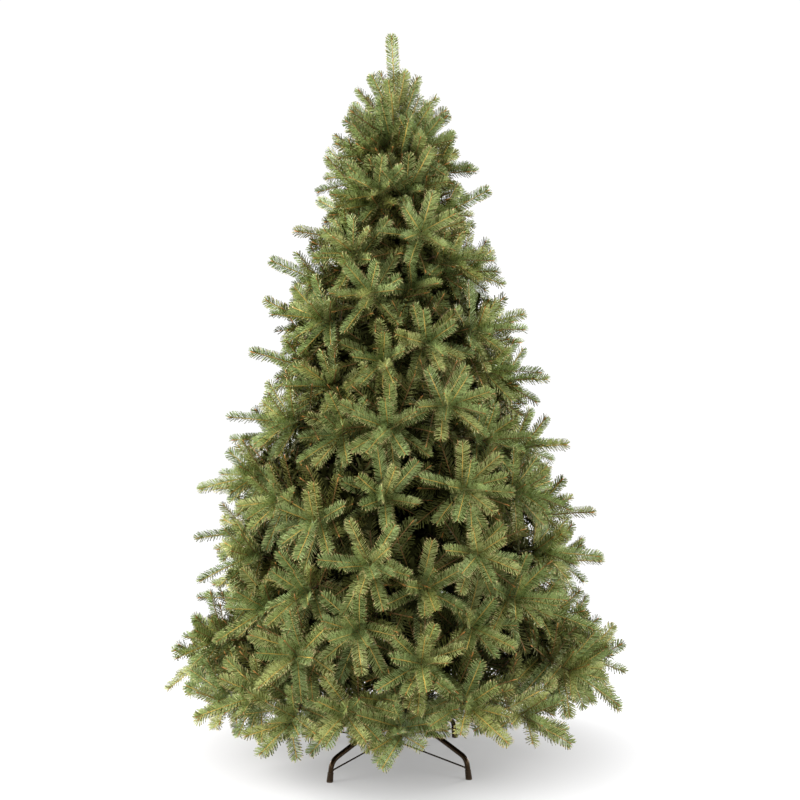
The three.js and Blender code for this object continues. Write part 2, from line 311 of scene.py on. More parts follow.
# ---- The crown's outline, as the solids give it ----
class Crown:
    """How far the masses reach in each direction from the axis, with the clefts between them bridged."""

    TURNS = 72
    STEP = 0.015  # between heights
    SLOPE = 0.8  # of the bridge from a mass's edge, up and down
    SECTOR = 0.20  # half the angle that one point of a mass counts for

    def __init__(self):
        self.names = [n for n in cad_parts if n.startswith("foliage_")]
        clouds = [node_points(name) for name in self.names]
        self.points = np.concatenate(clouds)
        self.owner = np.repeat(np.arange(len(clouds)), [len(c) for c in clouds])
        radii = np.hypot(self.points[:, 0], self.points[:, 1])
        turns = np.arctan2(self.points[:, 1], self.points[:, 0])
        self.heights = np.arange(0.0, TREE_TOP[2] + 0.1, self.STEP)
        rows = []
        for k in range(self.TURNS):
            aside = np.abs((turns - 2 * math.pi * k / self.TURNS + math.pi) % (2 * math.pi) - math.pi)
            near = aside < self.SECTOR
            lift = np.abs(self.heights[:, None] - self.points[near, 2][None])
            rows.append((radii[near][None] - self.SLOPE * lift).max(axis=1))
        self.table = np.array(rows)

    def reach(self, turn, height):
        place = turn / (2 * math.pi) * self.TURNS
        k = math.floor(place)
        row = [float(np.interp(height, self.heights, self.table[(k + i) % self.TURNS])) for i in (0, 1)]
        return row[0] + (row[1] - row[0]) * (place - k)

    def widest(self, turn, height):
        """The reach of the prongs near a direction, past the hollows between them."""
        return max(self.reach(turn + aside, height) for aside in (-0.3, -0.15, 0, 0.15, 0.3))

    def beyond(self, point):
        """How far a point stands out of the outline, or less than 0 inside."""
        return math.hypot(point[0], point[1]) - self.reach(math.atan2(point[1], point[0]), point[2])

    def mass_at(self, point):
        return int(self.owner[np.argmin(np.linalg.norm(self.points - point, axis=1))])


crown = Crown()
add_camera()

# ---- Boughs ----
BOUGH_RISE = [  # slope of a bough's end, by height
    (0.20, -0.32), (0.32, -0.20), (0.45, -0.12), (0.80, 0.00), (1.20, 0.12), (1.60, 0.28),
    (1.85, 0.50), (2.00, 0.78), (2.10, 0.95),
]
RISE_VARIES, SWING_VARIES = 0.10, 0.14  # of a bough's end, up and down and to the sides
RIM_HEIGHT = 0.262
RIM_LIFT = (0.060, 0.015)  # of its sides, right and left
LOWEST_TIP = [  # of the sprays: x, and the height that a tip stays above there
    (-0.70, 0.190), (-0.24, 0.190), (-0.20, 0.230), (-0.11, 0.230), (-0.07, 0.190), (0.06, 0.190),
    (0.11, 0.262), (0.32, 0.262), (0.42, 0.215), (0.60, 0.200),
]
PAST_BOX = 0.024  # of a side of the solids' box, which the stems' tips may stand past it
LIMIT = [
    [corner[i] + sign * PAST_BOX * (CAD_BOX[1][i] - CAD_BOX[0][i]) for i in (0, 1)]
    for corner, sign in zip(CAD_BOX, (-1, 1))
]
UNDER_REACH, UNDER_HEIGHT = 0.70, 0.25  # of the ring inside the lowest one
SPACING_BY_HEIGHT = [(0.3, 1.0), (1.5, 0.93), (1.8, 0.80), (2.05, 0.68)]
LOWEST_SITE, HIGHEST_SITE = 0.36, 2.03  # of the scatter above the rings
MISSES_ALLOWED = 600  # in a row, before the outline counts as full
RING_UNEVEN = 0.35  # of the gap between two neighbours in a ring


def ring_turns(count, first=0.0):
    """The turns of a ring of things, unevenly spaced."""
    for i in range(count):
        yield first + 2 * math.pi * (i + RING_UNEVEN * (rng.random() - 0.5)) / count


def choose_sites():
    """Where boughs end: two rings round the crown's foot, then an even scatter over its outline."""
    sites = []
    for i, turn in enumerate(ring_turns(RIM_BOUGHS)):
        lift = RIM_LIFT[0] * max(0.0, math.cos(turn)) + RIM_LIFT[1] * max(0.0, -math.cos(turn))
        height = RIM_HEIGHT + lift + 0.022 * (1 if i % 2 else -1) + 0.02 * (rng.random() - 0.5)
        sites.append((flat(turn) * crown.widest(turn, height) + UP * height, turn))
    for turn in ring_turns(UNDER_BOUGHS):
        sites.append((flat(turn) * UNDER_REACH * crown.reach(turn, RIM_HEIGHT) + UP * UNDER_HEIGHT, turn))
    heights = np.linspace(LOWEST_SITE, HIGHEST_SITE, 60)
    share = np.cumsum([crown.reach(0.3, h) + 0.05 for h in heights])
    share /= share[-1]
    misses = 0
    while misses < MISSES_ALLOWED:
        height = float(np.interp(rng.random(), share, heights))
        turn = rng.random() * 2 * math.pi
        reach = crown.widest(turn, height) if height < 0.5 else crown.reach(turn, height)
        point = flat(turn) * reach + UP * height
        need = SITE_SPACING * along(SPACING_BY_HEIGHT, height)
        if min(np.linalg.norm(point - other) for other, _ in sites) < need:
            misses += 1
            continue
        sites.append((point, turn))
        misses = 0
    return sites


def tier_of(name):
    """The tier of a mass, from 0 at the floor to TIERS for the crown's top."""
    return TIERS if name == "foliage_top" else int(name.split("_")[1]) - 1


def run_along(line):
    """How far along a line each of its points is."""
    return np.concatenate([[0], np.cumsum(np.linalg.norm(np.diff(line, axis=0), axis=1))])


def point_along(line, run, step):
    return np.array([np.interp(step, run, line[:, i]) for i in range(3)])


def bezier(a, b, c, d, count):
    t = np.linspace(0, 1, count)[:, None]
    return a * (1 - t) ** 3 + 3 * b * t * (1 - t) ** 2 + 3 * c * t * t * (1 - t) + d * t**3


def main_limb(name, limbs):
    """The limb that carries a mass: from the pole, or from its bare bough, out to its middle."""
    points = node_points(name)
    radii = np.hypot(points[:, 0], points[:, 1])
    middle = points[radii > 0.6 * radii.max()].mean(axis=0)
    turn = math.atan2(middle[1], middle[0])
    tier, number = name.split("_")[1:]
    end = flat(turn) * 0.70 * radii.max() + UP * middle[2]
    if tier == "1":
        bough = node_points("bough_" + number)
        out = np.hypot(bough[:, 0], bough[:, 1])
        start = bough[out > out.max() - 0.01].mean(axis=0)
    else:
        inner = points[radii < radii.min() + 0.02]
        start = flat(turn) * 0.012 + UP * (inner[:, 2].mean())
    lead = (end - start) / 3
    line = bezier(start, start + lead, end - lead * [1, 1, 0] - UP * 0.01, end, 14)
    limbs.append((line, 0.005, 0.0032))
    return line


def branch_to(place, axis, line):
    """A branch that leaves a limb at a narrow angle and ends at place in the direction of axis."""
    out = np.hypot(line[:, 0], line[:, 1])
    aside = np.linalg.norm(line - place, axis=1).min()
    wanted = max(math.hypot(place[0], place[1]) - 1.15 * aside - 0.12, out[1])
    k = int(np.clip(np.argmin(np.abs(out - wanted)), 1, len(line) - 2))
    start = line[k]
    span = np.linalg.norm(place - start)
    tangent = unit(line[k + 1] - line[k - 1])
    count = max(6, int(span / 0.03))
    return bezier(start, start + tangent * span * 0.35, place - axis * span * 0.35, place, count)


# ---- Sprays ----
Spray = namedtuple("Spray", "base axis top length kind tier green")  # top is where its upper side faces
FULL, THIN, INNER = 0, 1, 2  # kinds of spray, from the crown's outline inwards; the thinner and the innermost ones are coloured in painted shade
PROUD = {FULL: 0.100, THIN: 0.005, INNER: -0.090}  # how far a tip may stand out of the solids' outline
NARROWING = 0.08  # of that, for each metre above 1.5
INNER_CLEAR = 0.12  # of the innermost sprays, above the lowest tips
# Low down and near the outline the thinner sprays are full ones, too, with lit colours in place of painted
# shade, as light falls through there.
RIM_TOP, RIM_DEEP = 0.37, 0.16
BUD = 0.012  # of a stem and its needles, past the spray's length
FIT_TRIES, FIT_SHORTER, FIT_INWARD, FIT_UPWARD = 7, 0.96, 0.09, 0.14  # when a spray is bent in
TIP_SET_BACK, TIP_VARIES = 0.045, 0.080  # of a bough's last spray, behind the outline
TIP_LENGTH = 1.30  # of that spray, to the others
TOP_UP, TOP_OUT, TOP_ROLL, TOP_TURNS = 0.75, 0.55, 0.45, 0.65  # which way the upper side of a spray faces
# How each bough ends: a spray straight on, then rings of sprays behind it.
# distance behind, sprays, lean from the bough, length, kind
WHORLS = [
    (0.008, 5, 0.78, 0.92, FULL),
    (0.034, 6, 1.12, 1.10, FULL),
    (0.078, 6, 1.20, 1.30, THIN),
    (0.130, 5, 1.05, 1.25, THIN),
    (0.185, 4, 0.95, 1.00, INNER),
    (0.240, 4, 0.95, 1.00, INNER),
]


def choose_green(height):
    """A green for an outer spray. The low ones are yellower: painted light, the floor's warm bounce shining
    on and through them.
    """
    low = max(0.0, 1 - height / 0.4)
    weights = np.array([0.44, 0.36, 0.06 + 0.80 * low, 0.14 + 0.20 * low])
    return int(rng.choice(len(GREENS), p=weights / weights.sum()))


def whorl(sprays, centre, axis, count, lean, size, kind, tier, back=0.0):
    """A ring of sprays that lean out from a bough's direction."""
    side = square_to(UP + 0.01, axis)
    other = np.cross(axis, side)
    first = rng.random() * 2 * math.pi
    outward = unit(centre * [1, 1, 0] + 1e-6)
    for turn in ring_turns(count, first):
        angle = lean * (1 + 0.22 * (rng.random() * 2 - 1))
        sideways = side * math.cos(turn) + other * math.sin(turn)
        way = unit(axis * math.cos(angle) + sideways * math.sin(angle))
        way = unit(way + UP * 0.06 * (centre[2] > 0.32))
        base = centre - axis * back * rng.random()
        length = size * SPRAY_LENGTH * (0.88 + 0.24 * rng.random())
        place_spray(sprays, base, way, outward, length, kind, tier)


def inside_limits(tip, kind):
    lowest = along(LOWEST_TIP, tip[0]) + (INNER_CLEAR if kind == INNER else 0)
    clear = all(LIMIT[0][i] < tip[i] < LIMIT[1][i] for i in (0, 1)) and tip[2] > lowest
    return clear and crown.beyond(tip) < PROUD[kind] - NARROWING * max(0.0, tip[2] - 1.5)


def place_spray(sprays, base, way, outward, length, kind, tier):
    """Keeps a spray inside the crown's outline: it is bent in and shortened, or left out."""
    for _ in range(FIT_TRIES):
        tip = base + way * (length + BUD)
        if inside_limits(tip, kind):
            break
        length *= FIT_SHORTER
        too_low = tip[2] < along(LOWEST_TIP, tip[0]) + 0.02
        way = unit(way - outward * FIT_INWARD + (UP * FIT_UPWARD if too_low else 0))
    else:
        return
    if kind == THIN and tip[2] < RIM_TOP and crown.beyond(tip) > -RIM_DEEP:
        kind = FULL
    roll = unit(rng.normal(size=3))
    turned = TOP_TURNS * max(0.0, way[2])  # a steep spray has its upper side outwards
    top = square_to(UP * (TOP_UP - turned) + outward * (TOP_OUT + turned) + roll * TOP_ROLL, way)
    sprays.append(Spray(base, way, top, length, kind, tier, choose_green(tip[2])))


def grow():
    """The limbs and branches, the sprays on them, and the limb that carries each mass."""
    limbs, sprays = [], []
    lines = {name: main_limb(name, limbs) for name in crown.names if name != "foliage_top"}
    lines["foliage_top"] = np.array([[0, 0, z] for z in np.linspace(1.72, 2.0, 10)])
    sites = choose_sites()
    for point, turn in sites:
        name = crown.names[crown.mass_at(point)]
        tier = tier_of(name)
        rise = along(BOUGH_RISE, point[2]) + RISE_VARIES * rng.normal()
        swing = turn + SWING_VARIES * rng.normal()
        axis = unit(flat(swing) * math.cos(rise) + UP * math.sin(rise))
        place = point - axis * (TIP_SET_BACK + TIP_VARIES * rng.random())
        line = branch_to(place, axis, lines[name])
        limbs.append((line, 0.003, 0.0022))
        outward = flat(turn)
        way = unit(axis + 0.12 * rng.normal(size=3))
        place_spray(sprays, place, way, outward, TIP_LENGTH * SPRAY_LENGTH, FULL, tier)
        # The rings stand one behind another along the branch and the limb it leaves.
        root = lines[name]
        joined = int(np.argmin(np.linalg.norm(root - line[0], axis=1)))
        path = np.concatenate([line[::-1], root[:joined][::-1]])
        run = run_along(path)
        for step, count, lean, size, kind in WHORLS:
            if run[-1] < step:
                break
            k = int(np.clip(np.searchsorted(run, step), 1, len(path) - 1))
            centre, way = point_along(path, run, step), unit(path[k - 1] - path[k])
            whorl(sprays, centre, way, count, lean, size, kind, tier, 0.012)
    for name, line in lines.items():
        fill_limb(sprays, name, line)
    fill_pole(sprays)
    top_whorls(sprays)
    return limbs, sprays, lines


FILL_START, FILL_STEP, LOW_FILL_STEP = 0.03, 0.050, 0.042  # of the rings of dark sprays along a limb
POLE_FILL = (0.47, 1.80, 0.05)  # of those round the pole: lowest, highest, step


def fill_limb(sprays, name, line):
    """Dark sprays all the way along a limb, which close the crown's middle: painted shade, near-black
    blades where the crown's inside lies in shadow.
    """
    tier = tier_of(name)
    run = run_along(line)
    for step in np.arange(FILL_START, run[-1], FILL_STEP if tier > 1 else LOW_FILL_STEP):
        centre, way = point_along(line, run, step), unit(line[-1] - line[0])
        whorl(sprays, centre, way, 4, 1.05, 1.0, INNER, tier, 0.01)


def fill_pole(sprays):
    """Dark sprays round the pole, which hide it between the limbs: painted shade, like those along the
    limbs.
    """
    for height in np.arange(*POLE_FILL):
        centre = UP * height
        tier = tier_of(crown.names[crown.mass_at(centre + flat(rng.random() * 6) * 0.1)])
        whorl(sprays, centre, UP, 6, 1.15, 1.1, INNER, tier, 0.01)


# Rings of sprays on the pole's end, from the leader's foot down: height, sprays, lean, length
TOP_WHORLS = [
    (2.060, 3, 0.25, 0.105), (2.040, 6, 0.62, 0.124), (2.000, 6, 0.82, 0.132),
    (1.960, 7, 0.95, 0.136), (1.920, 7, 1.00, 0.140), (1.875, 7, 1.05, 0.142),
]
SETS_OUT, SETS_OUT_BELOW = 0.3, 2.08  # how much further out a ring starts for each metre below a height
LEADER_GREEN = 1  # its place in GREENS
LEADER = [(-0.003, 2.115), (-0.012, TREE_TOP[2] - 0.004)]  # x and height of its foot and its tip


def top_whorls(sprays):
    """The one upright spray at the very top, and the rings of sprays below it."""
    base, tip = (np.array([x, 0, z]) for x, z in LEADER)
    way = unit(tip - base)
    front = np.array([0, -1.0, 0])
    sprays.append(Spray(base, way, front, np.linalg.norm(tip - base), FULL, TIERS, LEADER_GREEN))
    for height, count, lean, length in TOP_WHORLS:
        first = rng.random() * 2 * math.pi
        for i in range(count):
            turn = first + 2 * math.pi * (i + 0.3 * rng.random()) / count
            angle = lean + 0.10 * rng.normal()
            way = unit(flat(turn) * math.sin(angle) + UP * math.cos(angle))
            start = UP * height + way * SETS_OUT * (SETS_OUT_BELOW - height) + flat(turn) * 0.01
            place_spray(sprays, start, way, flat(turn), length, FULL, TIERS)


# ---- Needles ----
STATIONS = {FULL: 29, THIN: 13, INNER: 6}  # along a stem
NEEDLE_LENGTH = {FULL: 0.0262, THIN: 0.0285, INNER: 0.050}
NEEDLE_WIDTH = {FULL: 0.0022, THIN: 0.0034, INNER: 0.0095}
LOWEST_ROW_WIDER = 1.5  # which has half as many needles
FACE_VARIES = {FULL: 0.28, THIN: 0.28, INNER: 0.90}  # of the way that a blade faces
SHOULDER = 0.76  # where a pointed needle starts to narrow
BLUNT_FROM = 0.90  # share of a stem past which the needles fan out forwards
BARE = 0.03  # share of a stem before the first needle
ROW_OFFSET, STATION_VARIES = 0.28, 0.12  # shares of the gap between two stations
CROWDED = 0.6  # how much the needles crowd towards a stem's end
RAISED_VARIES, SPREAD_VARIES, SIZE_VARIES = 0.12, 0.035, 0.05
SPREAD_ALONG = ([0, 0.15, 1.0], [1.12, 1.04, 0.98])  # along a stem
SIZE_ALONG = ([0, 0.12, 1.0], [0.70, 1.0, 1.0])
# Rows of needles on each side of a stem: raised from level, spread from the stem, length
ROWS = {
    FULL: [(-0.50, 1.04, 0.95), (0.02, 1.10, 1.00), (0.50, 1.04, 1.00), (1.08, 0.94, 0.95)],
    THIN: [(-0.35, 1.00, 1.00), (0.20, 0.98, 1.00), (0.85, 0.80, 0.85)],
    INNER: [(-0.90, 1.00, 1.00), (0.00, 1.00, 1.00), (0.90, 0.90, 1.00)],
}
POINTED_ROW = 1  # of an outer spray, from below: its needles end in a straw-coloured point, partly the needles' own pale tips and partly a painted highlight
POINTED_SHARE = 0.7
SHADED_NEEDLE_SHARE = 0.22  # of an outer spray's needles, painted in the same shade as those below, as painted shadows between the needles
STRAW_AND_GLINT, SHADED_TINT, INNER_SHADE_TINT = 2 * len(GREENS), 2 * len(GREENS) + 1, 2 * len(GREENS) + 2


def needle_rows(spray):
    """The needles of one spray as triangles of points, and a tint for each triangle."""
    base, axis, top, length, kind, _, green = spray
    stations = max(4, round(STATIONS[kind] * length / SPRAY_LENGTH))
    rows = np.array(ROWS[kind])
    sign, row, station = np.meshgrid([-1.0, 1.0], np.arange(len(rows)), np.arange(stations), indexing="ij")
    kept = ((row > 0) | (station % 2 == 0)).ravel()  # every other needle of the lowest row
    sign, row, station = sign.ravel()[kept], row.ravel()[kept], station.ravel()[kept]
    count = len(station)
    s = (station + 0.5 + ROW_OFFSET * (row % 2) + STATION_VARIES * rng.normal(size=count)) / stations
    s = np.clip(BARE + (1 - BARE) * s, BARE, 1.0)
    s = s + CROWDED * s**3 * (1 - s)
    raised = rows[row, 0] + RAISED_VARIES * rng.normal(size=count)
    end = np.clip((s - BLUNT_FROM) / (1 - BLUNT_FROM), 0, 1)
    fan = (0.37 * row + 0.618 * station) % 1.0
    spread = rows[row, 1] * np.interp(s, *SPREAD_ALONG) * (1 - 0.85 * end * fan)
    spread = spread + SPREAD_VARIES * rng.normal(size=count)
    size = NEEDLE_LENGTH[kind] * rows[row, 2] * np.interp(s, *SIZE_ALONG)
    size = size * (1 - 0.34 * end * np.cos(spread)) * (1 + SIZE_VARIES * rng.normal(size=count))
    side = np.cross(axis, top)
    root = base + axis * (s * length)[:, None] - top * stem_sag(length, s[:, None])
    across = side * (np.cos(raised) * sign)[:, None] + top * np.sin(raised)[:, None]
    way = axis * np.cos(spread)[:, None] + across * np.sin(spread)[:, None]
    flat_side = top * np.cos(raised)[:, None] - side * (np.sin(raised) * sign)[:, None]
    face = unit(flat_side + FACE_VARIES[kind] * rng.normal(size=(count, 3)))
    half_width = NEEDLE_WIDTH[kind] / 2 * np.where(row == 0, LOWEST_ROW_WIDER, 1.0)
    blade = square_to(np.cross(way, face), way) * half_width[:, None]
    tip = root + way * size[:, None] + axis * (0.05 * size)[:, None]
    pointed = (row == POINTED_ROW) & (kind == FULL) & (rng.random(count) < POINTED_SHARE)
    shoulder = root + way * (np.where(pointed, SHOULDER, 0.96) * size)[:, None]
    wide = np.where(pointed, 1.0, 0.72)[:, None]
    a, b, c, d = root - 0.6 * blade, root + 0.6 * blade, shoulder + wide * blade, shoulder - wide * blade
    # The innermost sprays are all painted shade.
    body = np.full(count, INNER_SHADE_TINT)
    point = body
    if kind == FULL:
        # The lowest row and a share of the others take their green's painted shade.
        body = 2 * green + ((row == 0) | (rng.random(count) < SHADED_NEEDLE_SHARE))
        point = np.full(count, STRAW_AND_GLINT)
    elif kind == THIN:
        # The thinner sprays take only painted shade, the darkest on their lowest row.
        body = np.where(row == 0, SHADED_TINT, 2 * green + 1)
        point = body
    halves = [np.stack(corners, axis=1) for corners in ((a, b, c), (a, c, d))]
    points = np.stack([d, c, tip], axis=1)[pointed]
    return np.concatenate([*halves, points]), np.concatenate([body, body, point[pointed]])


def stem_sag(length, s):
    """How far a stem droops, by the share of its length."""
    return 0.045 * length * s**2


def mesh_from(name, points, tints, materials):
    """A piece from triangles of points. Points in the same place become one."""
    spots, corners = np.unique(np.round(points.reshape(-1, 3), 6), axis=0, return_inverse=True)
    mesh = bpy.data.meshes.new(name)
    mesh.vertices.add(len(spots))
    mesh.vertices.foreach_set("co", spots.astype(np.float32).ravel())
    mesh.loops.add(corners.size)
    mesh.loops.foreach_set("vertex_index", corners.astype(np.int32).ravel())
    mesh.polygons.add(len(points))
    mesh.polygons.foreach_set("loop_start", np.arange(0, corners.size, 3, dtype=np.int32))
    mesh.polygons.foreach_set("material_index", tints.astype(np.int32))
    for material in materials:
        mesh.materials.append(material)
    mesh.update(calc_edges=True)
    piece = linked(name, mesh)
    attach(piece, "root")
    return piece


def needle_piece(label, sprays, tints):
    points, chosen = (np.concatenate(arrays) for arrays in zip(*map(needle_rows, sprays)))
    return mesh_from(label, points, chosen, tints)


def add_needles(sprays, tints):
    for tier in range(TIERS + 1):
        own = [s for s in sprays if s.tier == tier]
        outer = [s for s in own if s.kind != INNER]
        turns = [math.atan2(s.base[1], s.base[0]) for s in outer]
        label = f"tier_{tier + 1}" if tier < TIERS else "top"
        prefix = f"foliage_{tier + 1}_" if tier < TIERS else "foliage_top"
        masses = [n for n in crown.names if n.startswith(prefix)]
        halves = [("", -4, 4)] if tier > 3 else [("_left", -4, 0), ("_right", 0, 4)]
        for ending, low, high in halves:
            chosen = [s for s, turn in zip(outer, turns) if low <= turn < high]
            piece = needle_piece(f"needles_{label}{ending}", chosen, tints)
            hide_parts(*masses)
        inner = [s for s in own if s.kind == INNER]
        if inner:
            needle_piece(f"inner_shade_needles_{label}", inner, tints)


def tube(points, radii, sides, up=UP):
    """A closed round body along a line, as triangles of points: those between its rings, and its ends."""
    tangent = unit(np.gradient(points, axis=0))
    side = square_to(np.cross(tangent, up) + 1e-6, tangent)
    other = np.cross(side, tangent)
    turn = 2 * np.pi * (np.arange(sides) + 0.5) / sides
    ring = side[:, None] * np.cos(turn)[None, :, None] + other[:, None] * np.sin(turn)[None, :, None]
    rows = points[:, None] + ring * np.asarray(radii)[:, None, None]
    i = np.arange(sides)
    j = (i + 1) % sides
    near, far = rows[:-1], rows[1:]
    walls = np.stack([near[:, i], near[:, j], far[:, j], near[:, i], far[:, j], far[:, i]], axis=2)
    fan = np.arange(1, sides - 1)
    start = np.stack([rows[0, np.zeros_like(fan)], rows[0, fan + 1], rows[0, fan]], axis=1)
    end = np.stack([rows[-1, np.zeros_like(fan)], rows[-1, fan], rows[-1, fan + 1]], axis=1)
    return walls.reshape(-1, 3, 3), np.concatenate([start, end])


AMBER, RUST, BROWN_AND_SHADE, DARK_SHADE = range(len(STEMS))
# Rings of an outer spray's stem: share of its length, share of its radius. It ends in a bud.
STEM_RINGS = [(0.0, 1.0), (0.6, 0.85), (0.95, 0.75), (1.0, 1.15), (1.06, 0.35)]
STEM_SIDES = 4


def add_stems(sprays):
    """Stems that are amber above and rust below, and brown in the crown's inside. Their browner lower faces
    are partly their own tone and partly painted shade; the brown of the thinner sprays' stems and the
    near-black of the innermost ones are painted shade.
    """
    parts, tints = [], []
    for base, axis, top, length, kind, _, _ in sprays:
        inner = kind == INNER
        rings = np.array([(0.0, 1.0), (1.0, 0.7)] if inner else STEM_RINGS)
        s = rings[:, :1]
        line = base + axis * s * length - top * stem_sag(length, s)
        walls, ends = tube(line, rings[:, 1] * STEM_RADIUS, 3 if inner else STEM_SIDES, top)
        parts += [walls, ends]
        if inner:
            tints.append(np.full(len(walls) + len(ends), DARK_SHADE))
            continue
        # Upper faces amber, lower faces brown, partly as painted shade; the thinner sprays' stems are brown
        # all round as painted shade.
        ring = np.repeat([AMBER if kind == FULL else BROWN_AND_SHADE] * 2 + [BROWN_AND_SHADE] * 2, 2)
        stretches = np.tile(ring, len(rings) - 1)
        stretches[-2 * len(ring):] = RUST
        tints += [stretches, np.full(len(ends), RUST)]
    materials = [plain(f"stem_{name}", *finish) for name, finish in STEMS.items()]
    mesh_from("spray_stems", np.concatenate(parts), np.concatenate(tints), materials)


def add_limbs(limbs):
    parts = []
    for points, start, end in limbs:
        parts += tube(points, np.linspace(start, end, len(points)), 6)
    points = np.concatenate(parts)
    mesh_from("branches", points, np.zeros(len(points)), [branch_tape()])


def needle_tints():
    tints = []
    for name, colour in GREENS.items():
        tints.append(plain(f"needles_{name}", colour, 0.5, 0.4))
        # Each green also comes as a painted shade of itself.
        below = tuple(u * c for u, c in zip(UNDERSIDE_SHADE, colour))
        tints.append(plain(f"needles_{name}_under", below, 0.55, 0.3))
    tints.append(plain("needle_tips_and_glints", STRAW_TIP_AND_GLINT, 0.55, 0.3))
    tints.append(plain("needles_shaded", SHADED, 0.7, 0.2))
    tints.append(plain("needles_inner_shade", INNERMOST_SHADE, 0.8, 0.1))
    return tints


# ---- Shapes for the pole and the stand ----
SHARP = 0.6  # angle of a corner that is rounded
SHADED_SHARP = 0.65  # and of an edge that is shaded sharp


def smoothed(bm):
    """Shades a finished solid smooth, with its faces outwards."""
    bmesh.ops.recalc_face_normals(bm, faces=bm.faces)
    for face in bm.faces:
        face.smooth = True


def spin_round(bm, section, steps):
    """Turns a section once round the vertical axis."""
    bmesh.ops.spin(
        bm, geom=section, cent=(0, 0, 0), axis=(0, 0, 1), angle=2 * math.pi, steps=steps, use_merge=True,
    )
    bmesh.ops.remove_doubles(bm, verts=bm.verts, dist=1e-6)


def circle(bm, sides, radius, place):
    """The points and edges of a new circle."""
    made = bmesh.ops.create_circle(bm, cap_ends=False, segments=sides, radius=radius, matrix=place)
    return made["verts"], list({edge for vert in made["verts"] for edge in vert.link_edges})


def lathe(profile, steps, closed=False, rounding=0.0):
    """A solid from a profile of (radius, height) pairs, turned about the vertical axis."""
    bm = bmesh.new()
    points = [bm.verts.new((r, 0, z)) for r, z in profile]
    pairs = list(zip(points, points[1:])) + ([(points[-1], points[0])] if closed else [])
    spin_round(bm, points + [bm.edges.new(pair) for pair in pairs], steps)
    bmesh.ops.recalc_face_normals(bm, faces=bm.faces)
    round_corners(bm, rounding)
    return bm


def round_corners(bm, rounding):
    if rounding:
        corners = [e for e in bm.edges if e.is_manifold and e.calc_face_angle(0) > SHARP]
        bmesh.ops.bevel(
            bm, geom=corners, offset=rounding, segments=2, profile=0.5, affect="EDGES", material=-1,
            clamp_overlap=True,
        )
    smoothed(bm)


def sweep(points, radii, sides):
    """A closed round bar along a line, made ring by ring."""
    bm = bmesh.new()
    tangents = unit(np.gradient(points, axis=0))
    rings = []
    for point, tangent, radius in zip(points, tangents, radii):
        turn = Vector((0, 0, 1)).rotation_difference(Vector(tangent)).to_matrix().to_4x4()
        place = Matrix.Translation(Vector(point)) @ turn
        rings.append(circle(bm, sides, radius, place)[1])
    for near, far in zip(rings, rings[1:]):
        bmesh.ops.bridge_loops(bm, edges=near + far)
    for end in (rings[0], rings[-1]):
        bmesh.ops.contextual_create(bm, geom=end)
    smoothed(bm)
    return bm


def block(size, place, rounding):
    bm = bmesh.new()
    bmesh.ops.create_cube(bm, size=1.0)
    bmesh.ops.scale(bm, vec=size, verts=bm.verts)
    bmesh.ops.translate(bm, vec=place, verts=bm.verts)
    round_corners(bm, rounding)
    return bm


def ring_bar(radius, thickness, place, steps=36, sides=14):
    """A round ring that stands upright along x."""
    bm = bmesh.new()
    upright = Matrix.Rotation(math.pi / 2, 4, "X")
    points, edges = circle(bm, sides, thickness, Matrix.Translation((radius, 0, 0)) @ upright)
    spin_round(bm, points + edges, steps)
    move(bm, Matrix.Translation(place) @ upright)
    smoothed(bm)
    return bm


def move(bm, matrix):
    bmesh.ops.transform(bm, matrix=matrix, verts=bm.verts)


def about_pole(degrees):
    return Matrix.Rotation(math.radians(degrees), 4, "Z")


def joined(solids):
    """One mesh from several solids."""
    whole = bmesh.new()
    for solid in solids:
        part = bpy.data.meshes.new("part")
        solid.to_mesh(part)
        solid.free()
        whole.from_mesh(part)
        bpy.data.meshes.remove(part)
    return whole


def add_piece(bm, name, material, nodes):
    """A finished piece on the body, which stands for the named nodes."""
    piece = object_from(bm, name)
    piece.data.set_sharp_from_angle(angle=SHADED_SHARP)
    piece.data.materials.append(material)
    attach(piece, "root")
    if nodes:
        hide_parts(*nodes)


# ---- The pole and the bare boughs on it ----
POLE_BOTTOM = 0.046
POLE_SECTIONS = [(0.850, 0.0160), (1.450, 0.0135), (2.035, 0.0100)]  # top, radius
SWAGE = 0.012  # length of the taper between two sections
LIP = {"height": 0.007, "proud": 0.0007}  # rolled end of a section
RING_HEIGHT, RING_RADIUS, RING_TALL = 0.448, 0.024, 0.030
RING_SLACK = 0.004  # of an upper ring, past its tube
HINGE_PLATE, PLATE_REACH, PLATE_ASIDE = (0.013, 0.0018, 0.014), 0.0275, 0.0090
PIN_REACH, PIN_ASIDE, PIN_RADIUS = 0.0300, 0.0105, 0.0014
BARE_BOUGHS = range(1, 7)  # their numbers
POLE_STEPS = 48
POLE_ROW = 0.011  # longest face up the pole
SEAM = {"turn": 2.1, "width": 0.22, "proud": 0.00025}  # weld line up the tube
DENT = 0.00012


def pole_profile():
    profile = [(0, POLE_BOTTOM), (POLE_SECTIONS[0][1], POLE_BOTTOM)]
    for (top, radius), above in zip(POLE_SECTIONS, POLE_SECTIONS[1:] + [None]):
        lip = radius + LIP["proud"]
        rows = math.ceil((top - LIP["height"] - profile[-1][1]) / POLE_ROW)
        start = profile[-1][1]
        for i in range(1, rows + 1):
            profile.append((radius, start + (top - LIP["height"] - start) * i / rows))
        profile += [(lip, top - 0.8 * LIP["height"]), (lip, top - 0.2 * LIP["height"]), (radius, top)]
        if above:
            profile.append((above[1], top + SWAGE))
    return profile + [(0, POLE_SECTIONS[-1][0])]


